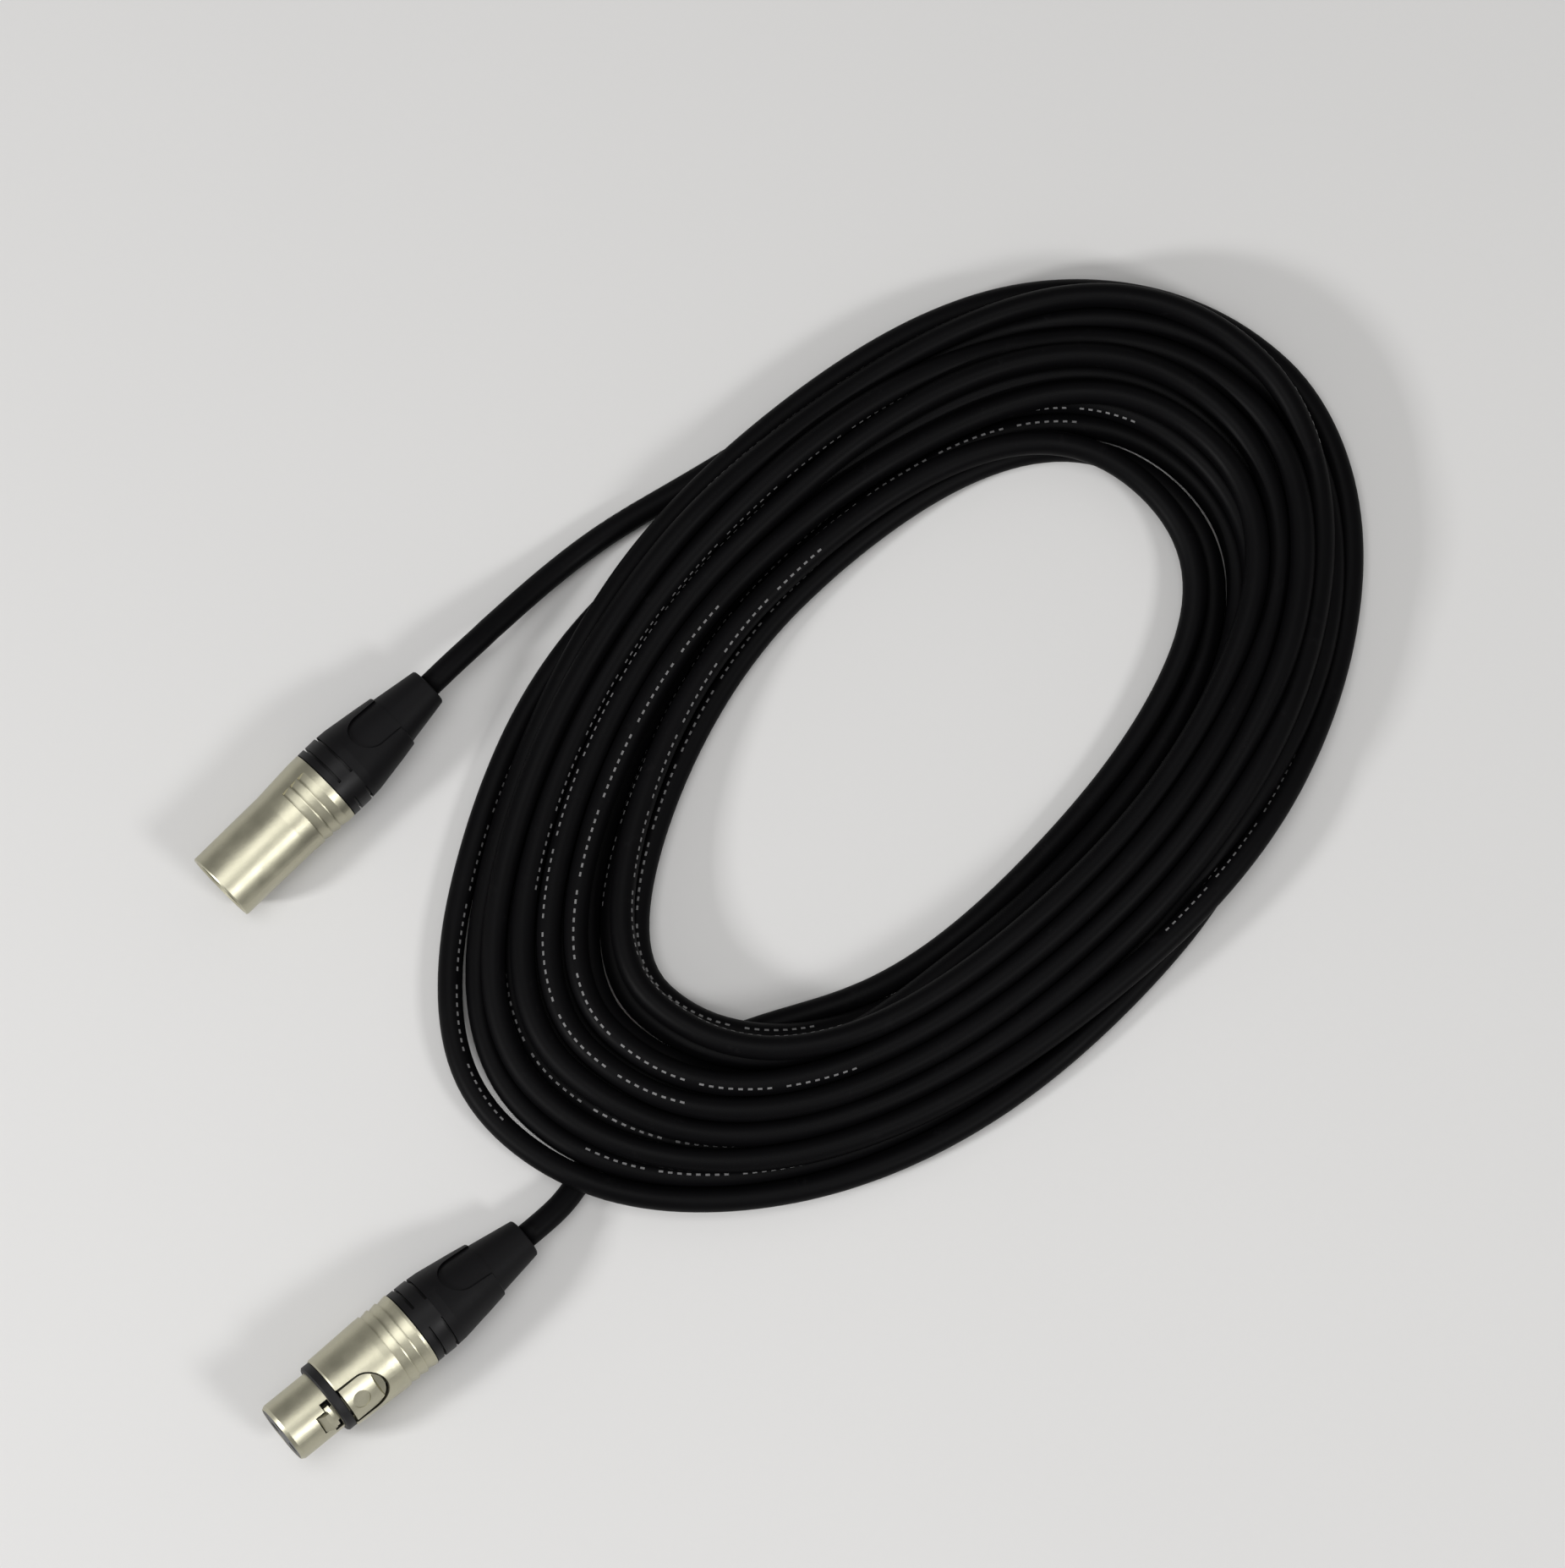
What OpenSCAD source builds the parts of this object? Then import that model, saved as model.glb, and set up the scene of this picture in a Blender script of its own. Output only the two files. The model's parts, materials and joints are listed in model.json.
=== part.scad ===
// A balanced microphone cable wound into a loose oval coil, with a three-pin male and a
// three-socket female cable connector on its ends. The floor is z = 0 and +X is the coil's
// long axis. Each connector is drawn along its own axis: z = 0 is its mating face and z grows
// towards the cable. Its keyed side, where the latch engages, faces local +X.

/* [Cable] */
// Outer diameter of the cable jacket
cable_d = 6.1; // [5.8:0.05:6.15]

/* [Coil] */
// Length of the oval outline outside
coil_long = 262; // [240:1:280]
// Width of the oval outline outside
coil_wide = 172; // [160:1:190]
// Width of the bundle at the long ends
bundle_end = 51; // [40:1:60]
// Width of the bundle at the long sides
bundle_side = 44; // [35:1:50]
// Height of the bundle
coil_h = 21; // [16:0.5:26]
// Centre of the coil along X
coil_x = 51; // [47:0.5:57]
// Centre of the coil along Y
coil_y = -7; // [-11:0.5:-3]

/* [Male connector] */
// Length of the metal shell
male_shell_len = 35.7; // [35:0.1:37]
// Depth of the socket that takes the mating nose
male_cup_depth = 15.4; // [15:0.1:16]
// Position of the mating face along X
male_x = -99.6; // [-105:0.1:-95]
// Position of the connector's axis along Y
male_y = 82.5; // [79:0.1:87]
// Roll of the keyed side from straight up
male_roll = 65; // [0:1:90]

/* [Female connector] */
// Length of the metal shell with its nose
female_shell_len = 39.7; // [39:0.1:41]
// Position of the mating face along X
female_x = -181.2; // [-188:0.1:-175]
// Position of the mating face along Y
female_y = -24.3; // [-30:0.1:-20]
// Heading of the connector from the X axis
female_yaw = -5; // [-10:0.5:0]
// Lift of the nose above level
female_lift = 6; // [0:0.5:7]
// Roll of the latch from straight up
female_roll = 42; // [0:1:60]

/* [Contacts] */
// Diameter of a male contact pin
pin_d = 2.4; // [2.3:0.05:2.5]
// Radius of the circle that the contacts stand on
contact_circle_r = 4.1; // [4:0.05:4.2]

/* [Hidden] */
eps = 0.01;
cable_r = cable_d / 2;

// Rear parts, the same on both connectors. Lengths start at the shell's rear edge.
shell_r = 10.1;           // outside of the shell at its rear edge
female_shell_r = 10.3;
thread_r = 8.6;           // outside of the bushing's threaded neck
thread_len = 8;
band_len = 6.6;           // ribbed band between the shell and the boot
band_r = 10.1;
groove_w = 0.7;
groove_deep = 1.1;
land_arc = 32;            // of the band, left standing across its grooves on two sides
grip_step = 2.6;          // grip bands on a shell, each sloping up to the next
grip_len = 2.3;
grip_deep = 0.5;
boot_len = 28.6;
boot_shoulder = 16.3;     // from the boot's front edge to the end of its outer sleeve
boot_wide_at = 2.5;       // the sleeve's last wide ring
boot_wide_r = 9.85;
boot_core_r = 7.05;       // tapered body inside the sleeve, at the shoulder
boot_end_r = 5.15;
window_at = 5;            // front of the U-shaped windows in the sleeve
window_r = 5;
window_floor = 0.15;
sleeve_len = 12;          // bushing's sleeve inside the boot
sleeve_r = 6.4;
chuck_back = 12;
cable_hole_r = cable_r + 0.05;
cable_stub = 2.5;         // jacket in front of the shell's rear edge

// Male front
male_front_r = 9.35;
cup_r = 8.1;
insert_r = 8.05;
insert_len = 7;
insert_boss_r = 6.4;      // boss behind the insert that the pins end in
insert_boss = 3;
male_grip_z = 26.1;       // first grip band from the mating face
male_grip_arc = 182;
pocket_at = 3.9;          // pocket in the socket's wall that the mating latch drops into
pocket_len = 3.6;
pocket_w = 5.2;
pin_tip = 2.3;            // pin tips behind the mating face
pin_r = pin_d / 2;
pin_root_r = pin_r + 0.25; // thicker where the insert holds the pin
cup_solder_r = 1.55;      // outside of a solder cup
cup_solder_len = 3.2;
cup_solder_bore_r = 1.15;

// Female front
nose_r = 8.0;
nose_bore_r = 7.3;
ring_at = 12.95;          // front face of the gasket ring
ring_len = 2.5;
ring_r = 9.4;
body_at = ring_at + ring_len;
socket_r = 1.25;          // contact bore
socket_out_r = 1.75;
socket_len = 13;
socket_entry_r = 1.5;
channel_w = 10.4;         // in the insert, under the latch
latch_low = 6.0;          // underside of the latch plate from the axis
latch_plate = 0.8;
latch_w = 4.6;
latch_front = 8.2;
latch_bar_at = 10.8;      // wider bar behind the hook, in a window of the nose
latch_bar_w = 6.4;
latch_window_w = 9;
latch_pivot_z = 28.5;
latch_pivot_r = 0.8;
latch_pin_len = 11;
knuckle_r = 1.6;
latch_room_w = 8.4;       // inside the shell round the knuckle and the spring
button_half_w = 5.0;
button_front = body_at + 0.5; // clear of the ring, because a press swings it forwards
button_end = 26.2;
button_r = 9.6;
arch_gap = 0.6;           // between the button and the shell
dish_z = 19.4;
dish_r = 2.3;
ramp_at = 23.8;           // finger ramp behind the button's raised part
ramp_r = 8.7;
spring_y = 3.95;          // outer end of the spring's coil
spring_w = 1.4;
spring_r = 1.4;
leg_w = 0.4;
leg_z = 24.5;
play = 0.3;
bore_end = 31;            // where the rear thread begins
female_grip_z = 31.5;

contact_angles = [60, -60, 180];
core_in_cup = 1;          // start of a wire inside its solder cup
core_spread = 1.3;        // wires' distance from the axis where the jacket ends

// Routes of the uncoiled stretches, in the part's own frame
male_route = [
    [-28.7, 82.5, 10.1], [-22, 82.5, 10.0], [-16, 82.5, 9.4], [-10, 82.5, 8.5], [-4, 82.4, 7.4],
    [2, 82.3, 6.2], [8, 82.1, 5.1], [14, 81.7, 4.2], [20, 81.1, 3.6], [26, 80.2, 3.3],
    [32, 79, 3.1], [38, 77.5, 3.1], [44, 75.8, 3.1], [51, 73.5, 3.1]
];
female_route = [
    [-107, -30.8, 7.1], [-103, -31.1, 6.6], [-99, -31.3, 5.8], [-95, -31.2, 4.9],
    [-91, -30.7, 4.0], [-87, -29.8, 3.4], [-82, -28.4, 3.1], [-76, -26.8, 3.1],
    [-69, -25.5, 3.1]
];
tube_sides = 10;
coil_steps = 48;
coil_section = 12;

// ---------- places ----------

module at_male() {
    translate([male_x, male_y, shell_r]) rotate([0, 90, 0]) rotate([0, 0, 180 + male_roll])
        children();
}

module at_female() {
    // the boot's widest ring rests on the floor
    lift_z = boot_wide_r * cos(female_lift)
        + (female_shell_len + band_len + boot_wide_at) * sin(female_lift);
    translate([female_x, female_y, lift_z])
        rotate([0, 90 + female_lift, female_yaw]) rotate([0, 0, 180 + female_roll])
            children();
}

module at_contact(i) {
    rotate([0, 0, contact_angles[i]]) translate([contact_circle_r, 0, 0]) children();
}

// ---------- shared pieces ----------

module tube(r_out, r_in, z0, z1) {
    difference() {
        translate([0, 0, z0]) cylinder(h = z1 - z0, r = r_out, $fn = 96);
        translate([0, 0, z0 - 1]) cylinder(h = z1 - z0 + 2, r = r_in, $fn = 96);
    }
}

// Three sloping bands round the keyed side of a shell, cut into its outline from z on.
// The outline lists [z, radius].
module grip_bands(z, outline, arc) {
    for (k = [0:2]) {
        low = z + grip_step * k;
        r_low = lookup(low, outline) - grip_deep;
        r_high = lookup(low + grip_len, outline);
        translate([0, 0, low]) rotate([0, 0, -arc / 2]) rotate_extrude(angle = arc, $fn = 96)
            polygon([[r_low, 0], [r_high + 1, 0], [r_high + 1, grip_len], [r_high, grip_len]]);
    }
}

// Slotted plastic collet that grips the jacket. back is the shell's rear edge.
module chuck(back) {
    difference() {
        rotate_extrude($fn = 96) polygon([
            [cable_hole_r, back - 2], [5.7, back - 2], [5.7, back + 3], [4.6, back + chuck_back],
            [cable_hole_r, back + chuck_back]
        ]);
        for (a = [0, 90])
            rotate([0, 0, a]) translate([-10, -0.4, back])
                cube([20, 0.8, chuck_back + 1]);
    }
}

// Threaded nut with a grooved band outside and a taper inside that squeezes the chuck.
// land is the way that the first standing piece of the band faces.
module bushing(back, land) {
    rib_r = band_r - groove_deep;
    band_end = back + band_len;
    difference() {
        rotate_extrude($fn = 96) polygon([
            [5.9, back - thread_len], [thread_r, back - thread_len], [thread_r, back],
            [rib_r, back], [rib_r, back + 0.3], [band_r, back + 0.3], [band_r, band_end],
            [sleeve_r, band_end], [sleeve_r, band_end + sleeve_len],
            [4.85, band_end + sleeve_len], [4.85, back + chuck_back], [5.9, back + 3]
        ]);
        for (z = [back + 2.1, band_end - groove_w], side = [0, 180])
            translate([0, 0, z]) rotate([0, 0, land + side + land_arc / 2])
                rotate_extrude(angle = 180 - land_arc, $fn = 96)
                    translate([rib_r, 0]) square([3, groove_w]);
    }
}

// Soft kink protection: a tapered body with a sleeve on its front part. The sleeve has a
// U-shaped window on two sides, and face is the way that the first one faces.
module boot(front, face) {
    end = front + boot_len;
    shoulder = front + boot_shoulder;
    slope = (boot_core_r - boot_end_r) / (boot_len - boot_shoulder);
    straight = boot_shoulder - window_at - window_r + 0.5; // runs out past the shoulder
    rotate([0, 0, face]) difference() {
        rotate_extrude($fn = 96) polygon([
            [sleeve_r, front], [band_r - 0.1, front], [boot_wide_r, front + boot_wide_at],
            [8.5, front + 11.6], [7.75, shoulder - 0.2], [7.55, shoulder],
            [boot_core_r, shoulder], [boot_end_r, end - 0.3], [boot_end_r - 0.3, end],
            [cable_hole_r, end], [cable_hole_r, front + sleeve_len + 0.5],
            [sleeve_r, front + sleeve_len + 0.5]
        ]);
        for (side = [0, 180])
            rotate([0, 0, side]) difference() {
                translate([0, 0, front + window_at + window_r]) rotate([0, 90, 0])
                    linear_extrude(band_r + 2) {
                        circle(r = window_r, $fn = 64);
                        translate([-straight, -window_r]) square([straight, 2 * window_r]);
                    }
                // the windows' floor, a little above the taper
                translate([0, 0, front - 1]) cylinder(
                    h = boot_len + 1, r1 = boot_core_r + slope * (boot_shoulder + 1) + window_floor,
                    r2 = boot_end_r + window_floor, $fn = 96);
            }
    }
}

// Insulated wire from its solder cup, which opens at cup_z, into the end of the jacket
module core(cup_z, angle, jacket_z, r) {
    out = [cos(angle), sin(angle), 0];
    far = contact_circle_r * out;
    near = core_spread * out;
    up = [0, 0, 1];
    bend = jacket_z - 0.8;
    swept_tube([
        far + (cup_z - cup_solder_len + core_in_cup) * up, far + cup_z * up,
        (far * 0.8 + near * 0.2) + (cup_z * 0.7 + bend * 0.3) * up,
        (far * 0.2 + near * 0.8) + (cup_z * 0.3 + bend * 0.7) * up,
        near + bend * up, near + jacket_z * up
    ], r, [1, 0, 0], 8);
}

// Solder cup behind a contact; its floor is at z
module solder_cup(z) {
    tube(cup_solder_r, cup_solder_bore_r, z, z + cup_solder_len);
    translate([0, 0, z - 1 - eps]) cylinder(h = 1 + 2 * eps, r = cup_solder_r, $fn = 48);
}

// ---------- male connector ----------

male_insert_end = male_cup_depth + insert_len;
male_outline = [[22, male_front_r + 0.1], [30, shell_r - 0.15], [33, shell_r]];

module male_shell() {
    back = male_shell_len;
    color("lightgoldenrodyellow") at_male() difference() {
        rotate_extrude($fn = 128) polygon(concat(
            [[cup_r + 0.4, 0], [male_front_r - 0.2, 0], [male_front_r, 0.3]],
            [for (p = male_outline) [p[1], p[0]]],
            [
                [shell_r, back], [thread_r + 0.05, back], [thread_r + 0.05, male_insert_end + 1],
                [cup_r, male_insert_end + 1], [cup_r, 0.4]
            ]
        ));
        grip_bands(male_grip_z, male_outline, male_grip_arc);
        translate([cup_r - 1, -pocket_w / 2, pocket_at]) cube([1.8, pocket_w, pocket_len]);
    }
}

module male_insert() {
    color("dimgray") at_male() difference() {
        union() {
            translate([0, 0, male_cup_depth]) cylinder(h = insert_len, r = insert_r, $fn = 96);
            translate([0, 0, male_insert_end - eps])
                cylinder(h = insert_boss, r = insert_boss_r, $fn = 96);
        }
        for (i = [0:2])
            at_contact(i) translate([0, 0, male_cup_depth - 1]) cylinder(h = 20, r = pin_root_r, $fn = 48);
        // seat of the ground contact
        translate([insert_r - 0.8, -1.6, male_cup_depth - 1]) cube([2, 3.2, insert_len + 2]);
    }
}

module male_pin(i) {
    back = male_insert_end + insert_boss;
    point = 0.8;
    color("silver") at_male() at_contact(i) {
        translate([0, 0, pin_tip + point])
            cylinder(h = male_cup_depth - pin_tip - point + eps, r = pin_r, $fn = 48);
        translate([0, 0, male_cup_depth])
            cylinder(h = back - male_cup_depth + eps, r = pin_root_r, $fn = 48);
        translate([0, 0, pin_tip]) cylinder(h = point + eps, r1 = pin_r - 0.6, r2 = pin_r, $fn = 48);
        solder_cup(back + 1);
    }
}

module male_ground_contact() {
    z0 = male_cup_depth - 0.9;
    color("silver") at_male() {
        translate([insert_r - 0.8, -1.5, z0]) cube([0.5, 3, insert_len + 0.8]);
        translate([insert_r - 0.8, -1.5, z0]) cube([0.7, 3, 0.5]);
    }
}

module male_chuck() { color("gray") at_male() chuck(male_shell_len); }
module male_bushing() {
    color([0.12, 0.12, 0.13]) at_male() bushing(male_shell_len, 38 - male_roll);
}
module male_boot() {
    color([0.16, 0.16, 0.17]) at_male() boot(male_shell_len + band_len, -9 - male_roll);
}

male_cup_z = male_insert_end + insert_boss + 1 + cup_solder_len;
module male_core_hot() {
    color("white") at_male() core(male_cup_z, 60, male_shell_len - cable_stub, 0.8);
}
module male_core_cold() {
    color("royalblue") at_male() core(male_cup_z, -60, male_shell_len - cable_stub, 0.8);
}
module male_shield_drain() {
    color("peru") at_male() core(male_cup_z, 180, male_shell_len - cable_stub, 0.6);
}
module male_cable_end() {
    start = male_shell_len - cable_stub;
    color([0.1, 0.1, 0.1]) at_male() translate([0, 0, start])
        cylinder(h = male_shell_len + band_len + boot_len - start, r = cable_r, $fn = 64);
}

// ---------- female connector ----------

// Opening in the shell for the latch: a T in the nose, and an arch behind the ring for the button
module latch_openings() {
    stem = latch_w / 2 + play;
    bar = latch_window_w / 2;
    translate([4, -stem, latch_front - play]) cube([10, 2 * stem, 3]);
    translate([4, -bar, latch_bar_at - play]) cube([10, 2 * bar, ring_at - 0.1 - latch_bar_at + play]);
}

// Plan of the button from a straight front edge to its round rear, grown by gap
module button_outline(front, gap) {
    w = button_half_w + gap;
    round_at = button_end + gap - w;
    translate([front, -w]) square([round_at - front, 2 * w]);
    translate([round_at, 0]) circle(r = w, $fn = 64);
}

// Stands a plan outline, drawn with its x along the axis, over the keyed side
module over_key(from, height) {
    translate([from + height, 0, 0]) rotate([0, -90, 0]) linear_extrude(height) children();
}

module female_shell() {
    back = female_shell_len;
    color("lightgoldenrodyellow") at_female() difference() {
        rotate_extrude($fn = 128) polygon([
            [nose_bore_r, 0], [nose_r - 0.5, 0], [nose_r, 0.9], [nose_r, body_at],
            [9.55, body_at], [9.75, body_at + 0.4], [10, body_at + 7], [female_shell_r, body_at + 14],
            [female_shell_r, back], [thread_r + 0.05, back], [thread_r + 0.05, bore_end],
            [nose_bore_r, bore_end]
        ]);
        grip_bands(female_grip_z, [[0, female_shell_r]], 360);
        latch_openings();
        over_key(5, 8) button_outline(body_at - 0.2, arch_gap);
        translate([5, -latch_room_w / 2, 20]) cube([3.6, latch_room_w, bore_end - 20]);
        pivot_axis(latch_pin_len, latch_pivot_r);
    }
}

female_insert_end = 27;
module female_insert() {
    color("dimgray") at_female() difference() {
        translate([0, 0, 0.1]) cylinder(h = female_insert_end - 0.1, r = nose_bore_r - 0.05, $fn = 96);
        for (i = [0:2]) at_contact(i) {
            translate([0, 0, -1]) cylinder(h = 3, r = socket_entry_r, $fn = 48);
            translate([0, 0, 1]) cylinder(h = 40, r = socket_out_r, $fn = 48);
        }
        // channel of the latch
        translate([3.9, -channel_w / 2, 7]) cube([6, channel_w, 30]);
    }
}

module female_contact(i) {
    front = 1.2;
    color("gold") at_female() at_contact(i) {
        tube(socket_out_r, socket_r, front, front + socket_len);
        translate([0, 0, front + socket_len - eps])
            cylinder(h = female_insert_end + 1 - front - socket_len + eps, r = socket_out_r, $fn = 48);
        solder_cup(female_insert_end + 2);
    }
}

module female_ground_contact() {
    color("silver") at_female() rotate([0, 0, 120])
        translate([2.4, -1.6, female_insert_end]) cube([4.2, 3.2, 0.6]);
}

// Cylinder along the latch's hinge axis
module pivot_axis(len, r) {
    translate([latch_low, 0, latch_pivot_z]) rotate([90, 0, 0])
        cylinder(h = len, r = r, center = true, $fn = 48);
}

module female_latch() {
    color("lightgoldenrodyellow") at_female() difference() {
        union() {
            // plate from the hook to the pivot
            translate([latch_low, -latch_w / 2, latch_front])
                cube([latch_plate, latch_w, latch_pivot_z - latch_front]);
            // hook with a ramp that slides under the mating shell's edge
            translate([latch_low, 0, latch_front]) rotate([90, 0, 0])
                linear_extrude(latch_w, center = true)
                    polygon([[0, 0], [1.6, 0], [2.9, 1.7], [2.9, 2.9], [0, 2.9]]);
            intersection() {
                translate([latch_low, -latch_bar_w / 2, latch_bar_at]) cube([3, latch_bar_w, 1.3]);
                cylinder(h = 20, r = nose_r - 0.1, $fn = 96);
            }
            // button, a little under the shell's surface
            intersection() {
                over_key(latch_low + latch_plate - eps, 2.9) button_outline(button_front, 0);
                cylinder(h = 40, r = button_r, $fn = 96);
            }
            pivot_axis(latch_w, knuckle_r);
        }
        pivot_axis(latch_w + 1, latch_pivot_r + 0.05);
        rotate([90, 0, 0]) linear_extrude(20, center = true) polygon([
            [button_r + 0.3, ramp_at], [ramp_r, ramp_at + 0.8], [9.2, button_end + 0.4],
            [button_r + 2, button_end + 0.4], [button_r + 2, ramp_at]
        ]);
        // plain round dish in the button
        translate([button_r - 0.4, 0, dish_z]) rotate([0, 90, 0])
            cylinder(h = 2, r = dish_r, $fn = 48);
    }
}

module latch_pivot_pin() { color("gray") at_female() pivot_axis(latch_pin_len, latch_pivot_r); }

// Along the hinge axis, from the outer end of the spring's coil inwards
module at_spring(along) {
    translate([latch_low, spring_y - along, latch_pivot_z]) rotate([90, 0, 0]) children();
}

// Torsion spring beside the latch's knuckle, with a leg that pushes the plate outwards
module latch_spring() {
    color("silver") at_female() {
        difference() {
            at_spring(0) difference() {
                cylinder(h = spring_w, r = spring_r, $fn = 48);
                translate([0, 0, -1]) cylinder(h = 4, r = latch_pivot_r + 0.05, $fn = 48);
            }
            for (groove = [0.4, 0.9])
                at_spring(groove) difference() {
                    cylinder(h = 0.1, r = 2, $fn = 48);
                    translate([0, 0, -1]) cylinder(h = 3, r = spring_r - 0.2, $fn = 48);
                }
        }
        translate([5.1, 3.2, leg_z]) cube([leg_w, leg_w, latch_pivot_z - leg_z - 0.8]);
        translate([5.1, 0.6, leg_z]) cube([leg_w, 3, leg_w]);
    }
}

module female_ring() {
    color([0.08, 0.08, 0.08]) at_female() rotate_extrude($fn = 96) polygon([
        [nose_r, ring_at], [ring_r - 0.4, ring_at], [ring_r, ring_at + 0.4],
        [ring_r, body_at - 0.2], [ring_r - 0.2, body_at], [nose_r, body_at]
    ]);
}

module female_chuck() { color("gray") at_female() chuck(female_shell_len); }
module female_bushing() {
    color([0.12, 0.12, 0.13]) at_female() bushing(female_shell_len, 3 - female_roll);
}
module female_boot() {
    color([0.16, 0.16, 0.17]) at_female() boot(female_shell_len + band_len, -20 - female_roll);
}

female_cup_z = female_insert_end + 2 + cup_solder_len;
module female_core_hot() {
    color("white") at_female() core(female_cup_z, 60, female_shell_len - cable_stub, 0.8);
}
module female_core_cold() {
    color("royalblue") at_female() core(female_cup_z, -60, female_shell_len - cable_stub, 0.8);
}
module female_shield_drain() {
    color("peru") at_female() core(female_cup_z, 180, female_shell_len - cable_stub, 0.6);
}
module female_cable_end() {
    start = female_shell_len - cable_stub;
    color([0.1, 0.1, 0.1]) at_female() translate([0, 0, start])
        cylinder(h = female_shell_len + band_len + boot_len - start, r = cable_r, $fn = 64);
}

// ---------- cable ----------

function unit(v) = v / norm(v);
function heading(p, i) = unit(p[min(i + 1, len(p) - 1)] - p[max(i - 1, 0)]);

// A tube of radius r along the points, closed at both ends. across is any way that the
// tube never runs.
module swept_tube(p, r, across = [0, 0, 1], sides = tube_sides) {
    n = len(p);
    rings = [for (i = [0:n - 1])
        let (t = heading(p, i), side = unit(cross(across, t)), up = cross(t, side))
        for (k = [0:sides - 1])
            p[i] + r * (cos(360 * k / sides) * side + sin(360 * k / sides) * up)];
    walls = [for (i = [0:n - 2], k = [0:sides - 1])
        let (j = (k + 1) % sides, a = i * sides, b = a + sides)
        [a + j, a + k, b + k, b + j]];
    polyhedron(rings, concat(
        walls,
        [[for (k = [0:sides - 1]) k]],
        [[for (k = [sides - 1:-1:0]) (n - 1) * sides + k]]
    ));
}

module male_tail() { color([0.1, 0.1, 0.1]) swept_tube(male_route, cable_r); }
module female_tail() { color([0.1, 0.1, 0.1]) swept_tube(female_route, cable_r); }

// Rounded section of the bundle: [across, height], flat where it lies on the floor
function section_point(k) =
    let (a = 360 * (k + 0.5) / coil_section, c = cos(a), s = sin(a))
    [sign(c) * pow(abs(c), 0.75), sign(s) * pow(abs(s), 0.75)];
section_top = max([for (k = [0:coil_section - 1]) section_point(k)[1]]);

function coil_point(i, k) =
    let (
        a = 360 * i / coil_steps, s = section_point(k),
        half_x = bundle_end / 2, half_y = bundle_side / 2,
        mid_x = coil_long / 2 - half_x, mid_y = coil_wide / 2 - half_y
    )
    [
        coil_x + cos(a) * (mid_x + s[0] * half_x),
        coil_y + sin(a) * (mid_y + s[0] * half_y),
        coil_h / 2 * (1 + s[1] / section_top)
    ];

module cable_coil() {
    points = [for (i = [0:coil_steps - 1], k = [0:coil_section - 1]) coil_point(i, k)];
    faces = [for (i = [0:coil_steps - 1], k = [0:coil_section - 1])
        let (
            j = (k + 1) % coil_section,
            a = i * coil_section, b = ((i + 1) % coil_steps) * coil_section
        )
        [a + k, a + j, b + j, b + k]];
    color([0.1, 0.1, 0.1]) polyhedron(points, faces);
}

male_shell();
male_insert();
male_pin(0);  // male_pin_1
male_pin(1);  // male_pin_2
male_pin(2);  // male_pin_3
male_ground_contact();
male_chuck();
male_bushing();
male_boot();
male_core_hot();
male_core_cold();
male_shield_drain();
male_cable_end();
female_shell();
female_insert();
female_contact(0);  // female_contact_1
female_contact(1);  // female_contact_2
female_contact(2);  // female_contact_3
female_ground_contact();
female_latch();
latch_pivot_pin();
latch_spring();
female_ring();
female_chuck();
female_bushing();
female_boot();
female_core_hot();
female_core_cold();
female_shield_drain();
female_cable_end();
male_tail();
female_tail();
cable_coil();
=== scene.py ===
"""A black microphone cable wound into a loose oval coil, with its two metal connectors."""
import json
import math

import bpy
import numpy as np
from mathutils import Matrix, Vector

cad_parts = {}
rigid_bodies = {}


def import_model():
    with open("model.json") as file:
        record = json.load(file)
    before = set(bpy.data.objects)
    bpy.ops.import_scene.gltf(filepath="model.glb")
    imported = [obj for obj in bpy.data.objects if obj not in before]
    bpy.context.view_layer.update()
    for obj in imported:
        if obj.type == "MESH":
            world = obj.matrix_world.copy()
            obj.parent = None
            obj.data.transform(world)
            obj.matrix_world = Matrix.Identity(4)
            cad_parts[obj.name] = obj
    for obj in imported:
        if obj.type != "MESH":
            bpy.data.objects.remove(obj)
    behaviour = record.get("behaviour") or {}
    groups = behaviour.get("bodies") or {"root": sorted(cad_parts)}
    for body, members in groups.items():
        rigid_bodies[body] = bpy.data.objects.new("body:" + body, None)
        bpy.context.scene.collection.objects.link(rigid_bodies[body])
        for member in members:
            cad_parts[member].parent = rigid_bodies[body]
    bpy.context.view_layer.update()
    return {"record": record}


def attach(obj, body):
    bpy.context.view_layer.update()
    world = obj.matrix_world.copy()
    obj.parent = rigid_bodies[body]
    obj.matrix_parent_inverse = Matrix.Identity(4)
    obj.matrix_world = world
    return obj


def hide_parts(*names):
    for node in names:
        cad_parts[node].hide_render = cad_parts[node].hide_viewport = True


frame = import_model()
MM = 0.001

# ---------- camera ----------

# Horizontal way that the camera faces, and the picture's right, both along the floor
FACING = Vector((0.70711, 0.70711, 0))
RIGHT = Vector((0.70711, -0.70711, 0))
ELEVATION = math.radians(79)
LOOKS_AT = Vector((0.017, 0.005, 0))
DISTANCE = 1.3
SENSOR_WIDTH, LENS = 36, 121          # millimetres


def aim(obj, toward, up):
    """Turns obj so that it faces that way, with up in the picture's upper half."""
    back = -toward.normalized()
    side = up.cross(back).normalized()
    turn = Matrix((side, back.cross(side), back)).transposed()
    obj.matrix_world = Matrix.Translation(obj.location) @ turn.to_4x4()


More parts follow.
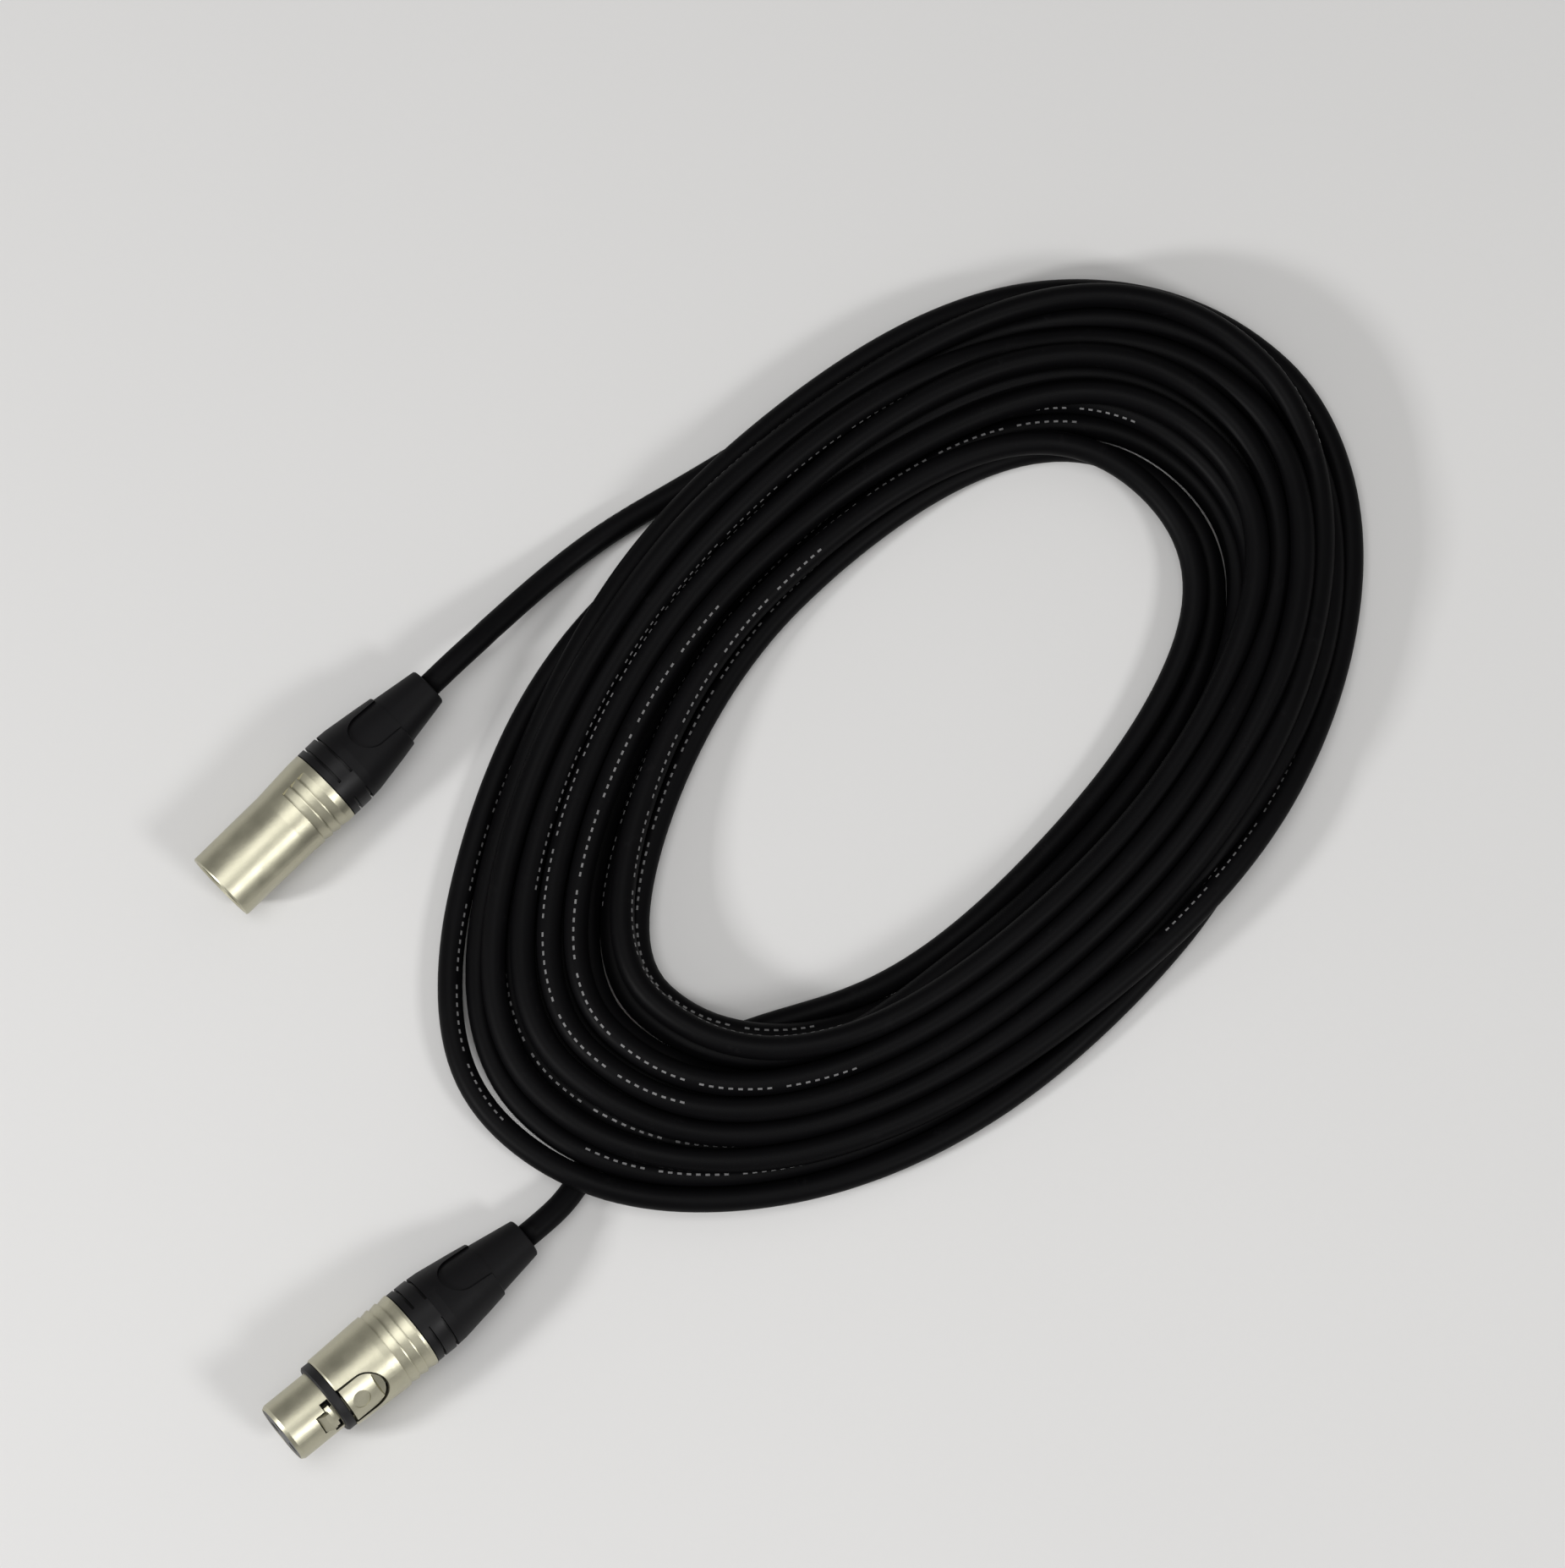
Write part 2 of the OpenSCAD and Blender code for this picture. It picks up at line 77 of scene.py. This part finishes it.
def add_camera():
    data = bpy.data.cameras.new("camera")
    data.sensor_fit = "HORIZONTAL"
    data.sensor_width = SENSOR_WIDTH
    data.lens = LENS
    data.clip_start = 0.05
    obj = bpy.data.objects.new("camera", data)
    bpy.context.collection.objects.link(obj)
    toward = FACING * math.cos(ELEVATION) - Vector((0, 0, 1)) * math.sin(ELEVATION)
    obj.location = LOOKS_AT - toward * DISTANCE
    aim(obj, toward, FACING)
    bpy.context.scene.camera = obj


add_camera()

# ---------- the cable's route, in millimetres ----------

CABLE_D = 6.1
CABLE_R = CABLE_D / 2
STEP = 3.0                # between the route's points

# The uncoiled stretches, from each boot's mouth to the coil
MALE_ROUTE = np.array([
    [-28.7, 82.5, 10.1], [-22, 82.5, 10.0], [-16, 82.5, 9.4], [-10, 82.5, 8.5], [-4, 82.4, 7.4],
    [2, 82.3, 6.2], [8, 82.1, 5.1], [14, 81.7, 4.2], [20, 81.1, 3.6], [26, 80.2, 3.3],
    [32, 79, 3.1], [38, 77.5, 3.1], [44, 75.8, 3.1], [51, 73.5, 3.1],
])
FEMALE_ROUTE = np.array([
    [-107, -30.8, 7.1], [-103, -31.1, 6.6], [-99, -31.3, 5.8], [-95, -31.2, 4.9],
    [-91, -30.7, 4.0], [-87, -29.8, 3.4], [-82, -28.4, 3.1], [-76, -26.8, 3.1],
    [-69, -25.5, 3.1],
])
COIL_X, COIL_Y = 51.0, -7.0
TURNS = 13.64
START_ANGLE = 92.0
INNER_X, OUTER_X = 86.0, 135.0
INNER_Y, OUTER_Y = 47.7, 80.7
# Which lane of the bundle the cable is in at each long end, first the far end, then the
# connectors' end, and so on. 0 is at the hole and OUTER_LANE at the outside.
OUTER_LANE = 7.4
FIRST_LANE, LAST_LANE = 7.6, -0.6
LANES = [5.0, 7.3, 2.4, 1.0, 0.4, 1.5, 1.1, 2.5, 2.1, 3.6, 3.2, 4.8, 4.4, 6.0, 5.7, 7.1,
         7.0, 6.5, 6.1, 5.2, 4.8, 4.1, 3.6, 2.9, 2.2, 1.1, -0.2]
LOOSE_LOOP = 1.2          # lanes by which the first turn stands out at the connectors' end
HOLE_BOW = 9.0            # how far the hole's long ends sit towards -Y
BUNDLE_SHIFT = 2.5        # of the whole coil towards +Y
POINTS_PER_TURN = 190
# How much shorter the oval is towards +X and +Y, and longer the other way, at the hole and
# at the outside
SKEW_X = (1.5, 3.5)
SKEW_Y = (6.3, 4.8)
# How full the oval's diagonals are at the hole, and how much less so at the outside
FULL, FULL_LESS = 0.055, 0.035
# How flat it is towards the connectors' corner, and at the opposite outer corner
NEAR_FLAT, NEAR_LESS = 0.10, 0.05
FAR_FLAT = 0.05


def ease(v):
    v = np.clip(v, 0, 1)
    return v * v * (3 - 2 * v)


def lane_at(turn):
    keys = np.array([FIRST_LANE, *LANES, LAST_LANE])
    place = np.array([0.0, *(0.25 + 0.5 * i for i in range(len(LANES))), TURNS])
    i = np.clip(np.searchsorted(place, turn, side="right") - 1, 0, len(place) - 2)
    t = ease((turn - place[i]) / (place[i + 1] - place[i]))
    loose = LOOSE_LOOP * ease((turn - 0.50) / 0.22) * (1 - ease((turn - 0.775) / 0.13))
    return keys[i] * (1 - t) + keys[i + 1] * t + loose


def length_of(p):
    return float(np.linalg.norm(np.diff(p, axis=0), axis=1).sum())


def resample(p, step):
    d = np.r_[0, np.cumsum(np.linalg.norm(np.diff(p, axis=0), axis=1))]
    q = np.linspace(0, d[-1], int(round(d[-1] / step)) + 1)
    return np.stack([np.interp(q, d, p[:, k]) for k in range(3)], 1)


def link(a, toward_a, b, toward_b):
    """Points of a smooth curve from a to b with those directions."""
    size = np.linalg.norm(b - a)
    t = np.linspace(0, 1, max(3, int(size / STEP) + 1))[:, None]
    ta = toward_a / np.linalg.norm(toward_a) * size
    tb = toward_b / np.linalg.norm(toward_b) * size
    return ((2 * t**3 - 3 * t**2 + 1) * a + (t**3 - 2 * t**2 + t) * ta
            + (3 * t**2 - 2 * t**3) * b + (t**3 - t**2) * tb)


def planned_route():
    """The whole cable seen from above, and how many points its buried last stretch has."""
    turn = np.linspace(0.0, TURNS, int(TURNS * POINTS_PER_TURN))
    angle = np.radians(START_ANGLE - 360.0 * turn)
    share = lane_at(turn) / OUTER_LANE
    co, si = np.cos(angle), np.sin(angle)
    in_x, out_x = INNER_X - SKEW_X[0] * co, OUTER_X - SKEW_X[1] * co
    in_y, out_y = INNER_Y - SKEW_Y[0] * si, OUTER_Y - SKEW_Y[1] * si
    # a little squarer than an oval at the hole, but flatter towards the two connectors' side
    # and at the opposite outer corner
    near = (2 * np.maximum(0, -co) * np.maximum(0, si)) ** 2
    far = (2 * np.maximum(0, co) * np.maximum(0, -si)) ** 2
    full = (1 + (FULL - FULL_LESS * share) * np.sin(2 * angle) ** 2
            - (NEAR_FLAT - NEAR_LESS * share) * near - FAR_FLAT * share * far)
    x = COIL_X + (in_x + CABLE_R + share * (out_x - in_x - CABLE_D)) * co * full
    y = COIL_Y + (in_y + CABLE_R + share * (out_y - in_y - CABLE_D)) * si * full
    y += BUNDLE_SHIFT - HOLE_BOW * (1 - 0.8 * np.clip(share, 0, 1)) * co**2
    coil = np.stack([x, y, np.full_like(x, CABLE_R)], 1)[8:-4]
    male, female = MALE_ROUTE[:-1], FEMALE_ROUTE[::-1][1:]
    first = link(male[-1], male[-1] - male[-2], coil[0], coil[1] - coil[0])
    last = link(coil[-1], coil[-1] - coil[-2], female[0], female[1] - female[0])
    whole = np.vstack([male[:-1], first, coil[1:-1], last, female[1:]])
    return resample(whole, STEP), int((length_of(last) + length_of(female)) / STEP)


LAID_AT_ONCE = 4          # points
SOFTENED = 24             # points behind the newest ones, whose humps are made longer


def laid_down(plan, tail):
    """Heights as the cable is laid in order on what lies there already, the tail first."""
    n, z = len(plan), plan[:, 2].copy()
    laid = np.zeros(n, bool)
    laid[tail:] = True
    for k in range(0, tail, LAID_AT_ONCE):
        block = np.arange(k, min(k + LAID_AT_ONCE, tail))
        if k >= 16:
            under = np.where(laid)[0]
            under = under[(under < k - 5) | (under >= tail + 6)]
            d2 = ((plan[block, None, :2] - plan[None, under, :2]) ** 2).sum(2)
            top = z[under][None] + np.sqrt(np.maximum(CABLE_D**2 - d2, 0))
            z[block] = np.maximum(CABLE_R, np.where(d2 < CABLE_D**2, top, CABLE_R).max(1))
        laid[block] = True
        if k >= 40 and k % 16 == 0:
            recent = slice(k - SOFTENED, k + LAID_AT_ONCE)
            part = z[recent].copy()
            for _ in range(6):
                mean = part.copy()
                mean[1:-1] = 0.25 * part[:-2] + 0.5 * part[1:-1] + 0.25 * part[2:]
                part = np.maximum(part, mean)
            z[recent] = part
    return np.column_stack([plan[:, :2], z])


def close_pairs(p, reach, apart):
    """Index pairs i < j that lie within reach and are more than apart along the cable."""
    cell = np.floor(p[:, :2] / reach).astype(int)
    cell -= cell.min(0)
    wide = cell[:, 0].max() + 3
    code = (cell[:, 1] + 1) * wide + cell[:, 0] + 1
    order = np.argsort(code, kind="stable")
    in_order = code[order]
    first, second = [], []
    for step in (0, 1, wide - 1, wide, wide + 1):
        low = np.searchsorted(in_order, code + step, "left")
        count = np.searchsorted(in_order, code + step, "right") - low
        i = np.repeat(np.arange(len(p)), count)
        place = np.arange(count.sum()) - np.repeat(np.cumsum(count) - count, count)
        j = order[np.repeat(low, count) + place]
        keep = i < j if step == 0 else np.ones(len(i), bool)
        first.append(np.minimum(i, j)[keep])
        second.append(np.maximum(i, j)[keep])
    i, j = np.concatenate(first), np.concatenate(second)
    keep = (j - i > apart) & (((p[i] - p[j]) ** 2).sum(1) < reach**2)
    return i[keep], j[keep]


def smooth(u, sigma):
    k = int(3 * sigma)
    g = np.exp(-0.5 * (np.arange(-k, k + 1) / sigma) ** 2)
    pad = np.concatenate([np.repeat(u[:1], k, 0), u, np.repeat(u[-1:], k, 0)])
    return np.stack([np.convolve(pad[:, c], g / g.sum(), "valid") for c in range(3)], 1)


def on_top_of_tail(p, i, j, tail):
    """Lifts what crosses the buried last stretch so that it lies on top of it."""
    keep = (j >= tail) & (i < tail - 12)
    i, j = i[keep], j[keep]
    d2 = ((p[i, :2] - p[j, :2]) ** 2).sum(1)
    need = np.full(len(p), -1.0)
    top = p[j, 2] + np.sqrt(np.maximum(CABLE_D**2 - d2, 0))
    np.maximum.at(need, i, np.where(d2 < CABLE_D**2, top, -1.0))
    p[:, 2] = np.maximum(p[:, 2], need)


ROUNDS = 200
GRAVITY = 0.35            # fall per round
HOLD = 0.98               # share of the sideways shift kept each round
BEND = 0.25
NEAR = 9.5                # centres closer than this are tested for contact
CLEARANCE = 0.03
SHORTEST, LONGEST = 0.985, 1.015      # of a step between two points
HELD = 6                  # points at each end that don't move
OVERSHOOT = 1.5           # of each push apart
# Shares of the rounds after which the fall fades, the pull and the bending ease, contact is
# solved more often, and the pull ends
FADES, EASES, CLOSER, LAST = 0.6, 0.8, 0.85, 0.93


def settled(p, plan, tail):
    """The cable after it has come to rest: turns pushed apart, length kept, bends softened."""
    n = len(p)
    p = p.copy()
    rest = plan.copy()
    rest[:, 2] -= CABLE_R
    from_end = np.minimum(np.arange(n), np.arange(n)[::-1])
    free = np.clip((from_end - HELD) / HELD, 0, 1)[:, None]
    reach = 3
    for turn in range(ROUNDS):
        late = turn / ROUNDS
        if turn % (6 if late < CLOSER else 2) == 0:
            i, j = close_pairs(p, NEAR, 4)
        fading = max(0.04, 1 - (late - FADES) / 0.3)
        fall = GRAVITY if late < FADES else GRAVITY * 0.6 * fading
        hold = HOLD if late < EASES else ((1 + HOLD) / 2 if late < LAST else 1.0)
        bend = BEND * (1 if late < EASES else 0.4 if late < LAST else 0.12)
        p[:, 2] -= fall * free[:, 0]
        p[:, :2] -= ((p - rest)[:, :2]) * (1 - hold) * free
        for _ in range(5 if late < CLOSER else 10):
            u = p - rest
            pull = np.zeros_like(u)
            pull[reach:-reach] = 0.5 * (u[2 * reach:] + u[:-2 * reach]) - u[reach:-reach]
            p = p + bend * pull * free
            for start in (0, 1):
                k = np.arange(start, n - 1, 2)
                d = p[k + 1] - p[k]
                size = np.sqrt((d * d).sum(1)) + 1e-9
                goal = np.clip(size, STEP * SHORTEST, STEP * LONGEST)
                move = (0.5 * (size - goal) / size)[:, None] * d
                p[k] += move * free[k]
                p[k + 1] -= move * free[k + 1]
            d = p[i] - p[j]
            size = np.sqrt((d * d).sum(1)) + 1e-9
            deep = CABLE_D + CLEARANCE - size
            hit = deep > 0
            a, b = i[hit], j[hit]
            push = d[hit] / size[hit][:, None] * (deep[hit] * 0.5)[:, None]
            move = np.stack([np.bincount(a, push[:, c], n) - np.bincount(b, push[:, c], n)
                             for c in range(3)], 1)
            count = np.bincount(a, minlength=n) + np.bincount(b, minlength=n)
            p += move / np.maximum(count, 1)[:, None] * free * OVERSHOOT
            on_top_of_tail(p, i, j, tail)
            p[:, 2] = np.maximum(p[:, 2], CABLE_R)
    for sigma in (2.0, 1.4):
        p = rest + smooth(p - rest, sigma) * free + (p - rest) * (1 - free)
        on_top_of_tail(p, i, j, tail)
        p[:, 2] = np.maximum(p[:, 2], CABLE_R)
    return rest + smooth(p - rest, 1.0) * free + (p - rest) * (1 - free)


def cable_path():
    plan, buried = planned_route()
    tail = len(plan) - buried
    return resample(settled(laid_down(plan, tail), plan, tail), STEP) * MM


# ---------- the cable's mesh ----------

def frames_along(p):
    """Direction, side and up at each point, where up stays as near vertical as it can."""
    t = np.gradient(p, axis=0)
    t /= np.linalg.norm(t, axis=1)[:, None]
    side = np.cross(t, [0.0, 0.0, 1.0])
    side /= np.linalg.norm(side, axis=1)[:, None]
    return t, side, np.cross(side, t)


def mesh_object(name, verts, faces, material):
    mesh = bpy.data.meshes.new(name)
    mesh.from_pydata([tuple(v) for v in verts], [], [tuple(int(k) for k in f) for f in faces])
    mesh.polygons.foreach_set("use_smooth", [True] * len(mesh.polygons))
    mesh.materials.append(material)
    mesh.update()
    obj = bpy.data.objects.new(name, mesh)
    bpy.context.collection.objects.link(obj)
    return obj


def tube(name, p, radius, sides, material):
    _, side, up = frames_along(p)
    a = np.linspace(0, 2 * np.pi, sides, endpoint=False)
    rings = (p[:, None] + radius * (np.cos(a)[None, :, None] * side[:, None]
                                    + np.sin(a)[None, :, None] * up[:, None]))
    n = len(p)
    k = np.arange(sides)
    base = (np.arange(n - 1) * sides)[:, None]
    nxt = (k + 1) % sides
    faces = np.stack([base + k, base + sides + k, base + sides + nxt, base + nxt], 2)
    faces = [*faces.reshape(-1, 4), list(k), list((n - 1) * sides + k[::-1])]
    return mesh_object(name, rings.reshape(-1, 3), faces, material)


# Printed runs of plain dashes, in millimetres along the cable
PRINT_EVERY = 520.0
PRINT_RUN = 180.0
DASH, GAP = 1.1, 1.2
DASH_W = 0.5
PRINT_PROUD = 0.02
PRINT_START, PRINT_END = 60.0, 40.0
DASHES_IN_WORD = 8
PRINT_SWING, PRINT_TURN = 1.35, 0.0049   # radians about the top, and per millimetre


def print_marks(p, material):
    """Plain dashes on the jacket. The line that they follow turns slowly round the cable."""
    d = np.r_[0, np.cumsum(np.linalg.norm(np.diff(p, axis=0), axis=1))] / MM
    _, side, up = frames_along(p)
    r = (CABLE_R + PRINT_PROUD) * MM
    verts, faces = [], []

    def spot(along, across, turned):
        f = [np.array([np.interp(along, d, v[:, c]) for c in range(3)]) for v in (p, side, up)]
        a = turned + across / CABLE_R
        return f[0] + r * (math.cos(a) * f[1] + math.sin(a) * f[2])

    start = PRINT_START
    while start < d[-1] - PRINT_RUN - PRINT_END:
        along = start
        count = 0
        while along < start + PRINT_RUN:
            count += 1
            if count % (DASHES_IN_WORD + 1):
                turned = math.pi / 2 + PRINT_SWING * math.sin(along * PRINT_TURN + 0.6)
                rows = [[spot(along + u * DASH, DASH_W * w, turned) for w in (-0.5, 0, 0.5)]
                        for u in (0.0, 0.5, 1.0)]
                base = len(verts)
                verts += [v for row in rows for v in row]
                faces += [(base + 3 * a + b, base + 3 * a + b + 1, base + 3 * a + b + 4,
                           base + 3 * a + b + 3) for a in range(2) for b in range(2)]
            along += DASH + GAP
        start += PRINT_EVERY
    return mesh_object("jacket_print", verts, faces, material)


# ---------- materials ----------

def finish_material(name, base, rough, *, metallic=0.0, spread=0.12, grain=900.0, depth=0.012,
                    rough_spread=0.08, blotch=60.0, wear=None, specular=0.5):
    """A plain finish with grain, blotches of colour, wear and uneven gloss.

    grain and blotch are spots per metre, depth is the grain's height in millimetres, and wear
    is a colour that worn spots take."""
    mat = bpy.data.materials.new(name)
    mat.use_nodes = True
    tree = mat.node_tree
    tree.nodes.clear()
    new, connect = tree.nodes.new, tree.links.new
    out = new("ShaderNodeOutputMaterial")
    bsdf = new("ShaderNodeBsdfPrincipled")
    connect(bsdf.outputs["BSDF"], out.inputs["Surface"])
    bsdf.inputs["Metallic"].default_value = metallic
    bsdf.inputs["Specular IOR Level"].default_value = specular
    where = new("ShaderNodeTexCoord").outputs["Object"]

    def noise(scale, detail, roughness):
        node = new("ShaderNodeTexNoise")
        node.inputs["Scale"].default_value = scale
        node.inputs["Detail"].default_value = detail
        node.inputs["Roughness"].default_value = roughness
        connect(where, node.inputs["Vector"])
        return node.outputs["Fac"]

    def ramp(fac, low, high, a, b):
        node = new("ShaderNodeMapRange")
        node.inputs["From Min"].default_value = low
        node.inputs["From Max"].default_value = high
        node.inputs["To Min"].default_value = a
        node.inputs["To Max"].default_value = b
        connect(fac, node.inputs["Value"])
        return node.outputs["Result"]

    def mix(fac, a, b):
        node = new("ShaderNodeMix")
        node.data_type = "RGBA"
        connect(fac, node.inputs["Factor"])
        for socket, value in ((node.inputs[6], a), (node.inputs[7], b)):
            if hasattr(value, "links"):
                connect(value, socket)
            else:
                socket.default_value = (*value, 1)
        return node.outputs[2]

    patches = noise(blotch, 4, 0.6)
    fine = noise(grain, 5, 0.65)
    dark = [c * (1 - spread) for c in base]
    light = [min(1, c * (1 + spread)) for c in base]
    colour = mix(ramp(patches, 0.3, 0.7, 0, 1), dark, light)
    colour = mix(ramp(fine, 0.25, 0.75, 0, 0.35), colour, [c * (1 - 1.6 * spread) for c in base])
    gloss = ramp(patches, 0.3, 0.7, rough - rough_spread, rough + rough_spread)
    if wear is not None:
        worn = ramp(noise(blotch * 5.5, 6, 0.72), 0.60, 0.72, 0, 0.55)
        colour = mix(worn, colour, wear)
        rub = new("ShaderNodeMath")
        rub.operation = "MULTIPLY_ADD"
        rub.inputs[1].default_value = 0.10
        connect(worn, rub.inputs[0])
        connect(gloss, rub.inputs[2])
        gloss = rub.outputs[0]
    connect(colour, bsdf.inputs["Base Color"])
    connect(gloss, bsdf.inputs["Roughness"])
    bump = new("ShaderNodeBump")
    bump.inputs["Strength"].default_value = 1.0
    bump.inputs["Distance"].default_value = depth * MM
    connect(fine, bump.inputs["Height"])
    connect(bump.outputs["Normal"], bsdf.inputs["Normal"])
    return mat


FINISHES = {
    "nickel": finish_material("nickel", (0.51, 0.49, 0.375), 0.40, metallic=1.0, spread=0.09,
                              grain=1300, depth=0.020, rough_spread=0.05, blotch=140,
                              wear=(0.44, 0.415, 0.31)),
    "insert_plastic": finish_material("insert_plastic", (0.030, 0.030, 0.032), 0.52, grain=1400,
                                      depth=0.010, wear=(0.06, 0.06, 0.062)),
    "silver_contact": finish_material("silver_contact", (0.82, 0.81, 0.78), 0.24, metallic=1.0,
                                      spread=0.05, grain=2200, depth=0.003, blotch=260),
    "gold_contact": finish_material("gold_contact", (0.80, 0.64, 0.34), 0.25, metallic=1.0,
                                    spread=0.06, grain=2200, depth=0.003, blotch=260),
    "spring_metal": finish_material("spring_metal", (0.58, 0.58, 0.59), 0.33, metallic=1.0,
                                    spread=0.08, grain=1800, depth=0.004, blotch=220),
    "chuck_plastic": finish_material("chuck_plastic", (0.33, 0.33, 0.34), 0.5, grain=1200,
                                     depth=0.008, spread=0.08),
    "bushing_plastic": finish_material("bushing_plastic", (0.0040, 0.0038, 0.0044), 0.44,
                                       grain=1500, depth=0.012, spread=0.16, specular=0.2,
                                       wear=(0.011, 0.0105, 0.0115)),
    "boot_rubber": finish_material("boot_rubber", (0.0036, 0.0034, 0.0041), 0.56, grain=1300,
                                   depth=0.022, spread=0.15, specular=0.15,
                                   wear=(0.009, 0.0085, 0.0095)),
    "gasket_rubber": finish_material("gasket_rubber", (0.0075, 0.0072, 0.0080), 0.52, grain=1600,
                                     depth=0.014, spread=0.16, specular=0.3),
    "jacket": finish_material("jacket", (0.0022, 0.0021, 0.0025), 0.50, grain=1100, depth=0.014,
                              spread=0.16, blotch=34, rough_spread=0.06, specular=0.06,
                              wear=(0.006, 0.0057, 0.0063)),
    "white_insulation": finish_material("white_insulation", (0.78, 0.78, 0.75), 0.45, grain=1200,
                                        depth=0.005, spread=0.05),
    "blue_insulation": finish_material("blue_insulation", (0.07, 0.16, 0.50), 0.45, grain=1200,
                                       depth=0.005, spread=0.08),
    "copper": finish_material("copper", (0.72, 0.40, 0.25), 0.34, metallic=1.0, spread=0.1,
                              grain=1600, depth=0.01, blotch=300),
}
PRINT_INK = finish_material("print_ink", (0.15, 0.148, 0.15), 0.62, grain=2600, depth=0.004,
                            spread=0.22, blotch=520, wear=(0.08, 0.078, 0.08))


def finish_cad_nodes():
    for part in frame["record"]["subparts"]:
        obj = bpy.data.objects[part["node"]]
        material = FINISHES[part["material_slot"]]
        if not obj.material_slots:
            obj.data.materials.append(material)
        for slot in obj.material_slots:
            slot.link = "OBJECT"
            slot.material = material


finish_cad_nodes()

# ---------- the cable ----------

CABLE_SIDES = 18
path = cable_path()
cable = tube("cable", path, CABLE_R * MM, CABLE_SIDES, FINISHES["jacket"])
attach(cable, "cable")
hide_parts("male_tail", "female_tail", "cable_coil")

marks = print_marks(path, PRINT_INK)
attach(marks, "cable")

# ---------- floor and light ----------

def add_floor():
    material = finish_material("floor", (0.66, 0.655, 0.65), 0.85, grain=420, depth=0.02,
                               spread=0.012, blotch=3.0, rough_spread=0.02, specular=0.15)
    size, cuts, below = 3.0, 6, 0.00005
    ticks = np.linspace(-size, size, cuts + 1)
    verts = [(x, y, -below) for y in ticks for x in ticks]
    wide = cuts + 1
    faces = [(r * wide + c, r * wide + c + 1, (r + 1) * wide + c + 1, (r + 1) * wide + c)
             for r in range(cuts) for c in range(cuts)]
    floor = mesh_object("floor", verts, faces, material)


LIT_POINT = Vector((0.03, -0.005, 0.01))


def add_light(name, across, ahead, height, size, power):
    """A square lamp at that place along the picture's right and up, facing the coil."""
    data = bpy.data.lights.new(name, "AREA")
    data.shape = "SQUARE"
    data.size = size
    data.energy = power
    obj = bpy.data.objects.new(name, data)
    bpy.context.collection.objects.link(obj)
    obj.location = LIT_POINT + RIGHT * across + FACING * ahead + Vector((0, 0, height))
    aim(obj, LIT_POINT - obj.location, FACING)


def add_world():
    world = bpy.data.worlds.new("studio")
    world.use_nodes = True
    back = world.node_tree.nodes["Background"]
    back.inputs["Color"].default_value = (1.0, 0.99, 0.97, 1)
    back.inputs["Strength"].default_value = 0.27
    bpy.context.scene.world = world


add_floor()
add_world()
add_light("left", -1.4, -0.62, 0.79, 0.22, 15.8)
add_light("right", 0.98, -0.86, 1.17, 0.35, 9.6)
add_light("overhead", -0.35, -0.2, 1.9, 1.2, 14.5)
bpy.context.scene.view_settings.view_transform = "Standard"
